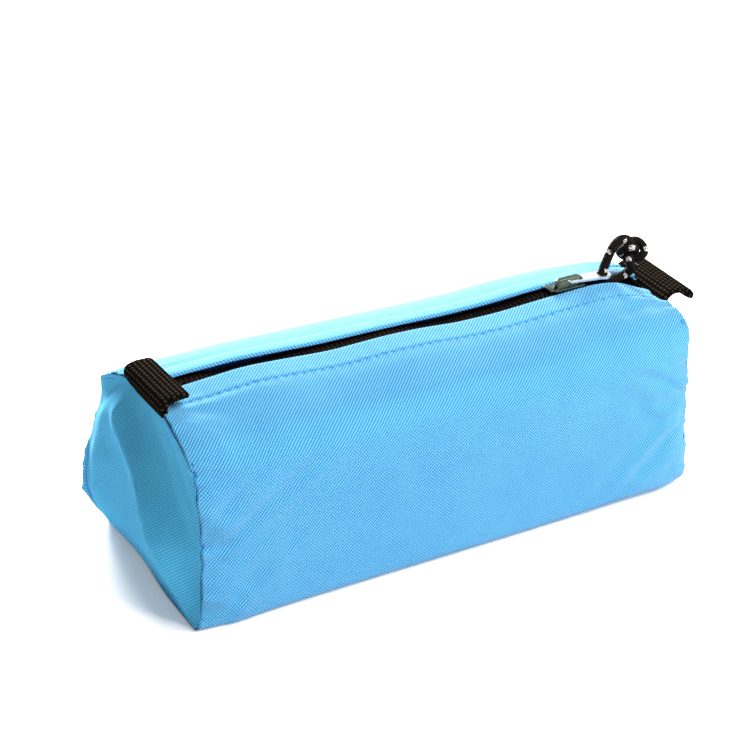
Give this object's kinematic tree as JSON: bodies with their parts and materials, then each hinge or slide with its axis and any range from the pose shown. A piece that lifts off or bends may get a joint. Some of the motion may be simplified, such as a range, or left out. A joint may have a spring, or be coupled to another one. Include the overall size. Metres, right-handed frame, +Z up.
{
  "type": "pencil case",
  "caption": "Soft fabric pencil case with a coil zip along its top, a webbing loop at each end of the zip and a knotted cord on the zip pull",
  "frame": {"origin": "on the surface that the case stands on, under the middle of the zip", "axes": "+X along the zip towards the end where the closed slider is, +Y from the front to the back, +Z up"},
  "size_m": [0.2273, 0.0875, 0.094],
  "materials": {
    "fabric": "sky blue plain-weave polyester",
    "binding": "woven polyester binding",
    "thread": "twisted polyester sewing thread",
    "zip_tape": "black woven zip tape",
    "zip_coil": "black nylon coil, slightly glossy",
    "slider_metal": "dark nickel plated die casting",
    "pull_metal": "bright nickel plate",
    "cord": "black braided polyester cord with white tracer flecks",
    "webbing": "black woven webbing"
  },
  "bodies": {
    "shell": {"body_wrap": "fabric", "left_end_panel": "fabric", "right_end_panel": "fabric", "left_seam_binding": "binding", "right_seam_binding": "binding", "front_topstitch": "thread", "back_topstitch": "thread"},
    "front_zip_half": {"front_zip_tape": "zip_tape", "front_zip_coil": "zip_coil"},
    "back_zip_half": {"back_zip_tape": "zip_tape", "back_zip_coil": "zip_coil"},
    "slider": {"zip_slider": "slider_metal"},
    "pull": {"pull_tab": "pull_metal"},
    "cord": {"pull_cord": "cord", "pull_knot": "cord"},
    "left_webbing": {"left_loop": "webbing"},
    "right_webbing": {"right_loop": "webbing"}
  },
  "joints": [
    {"name": "slider_travel", "type": "slide", "parent": "shell", "child": "slider", "axis": [1, 0, 0], "range_m": [-0.13, 0]},
    {"name": "front_zip_part", "type": "slide", "parent": "shell", "child": "front_zip_half", "axis": [0, -1, 0], "range_m": [0, 0.006]},
    {"name": "back_zip_part", "type": "slide", "parent": "shell", "child": "back_zip_half", "axis": [0, 1, 0], "range_m": [0, 0.006]},
    {"name": "pull_swing", "type": "hinge", "parent": "slider", "child": "pull", "pos_m": [0.0717, 0, 0.0769], "axis": [0, -1, 0], "range_deg": [0, 120]},
    {"name": "cord_swing", "type": "hinge", "parent": "pull", "child": "cord", "pos_m": [0.08608, 0, 0.07944], "axis": [0, -1, 0], "range_deg": [0, 40], "deforming": ["pull_cord"]},
    {"name": "left_loop_flip", "type": "hinge", "parent": "shell", "child": "left_webbing", "pos_m": [-0.101, 0, 0.0783], "axis": [0, -1, 0], "range_deg": [0, 150]},
    {"name": "right_loop_flip", "type": "hinge", "parent": "shell", "child": "right_webbing", "pos_m": [0.10802, 0, 0.07], "axis": [0, -1, 0], "range_deg": [-60, 80]}
  ],
  "couplings": [
    {"joint": "front_zip_part", "follows": "slider_travel", "ratio": -0.046154},
    {"joint": "back_zip_part", "follows": "slider_travel", "ratio": -0.046154}
  ]
}
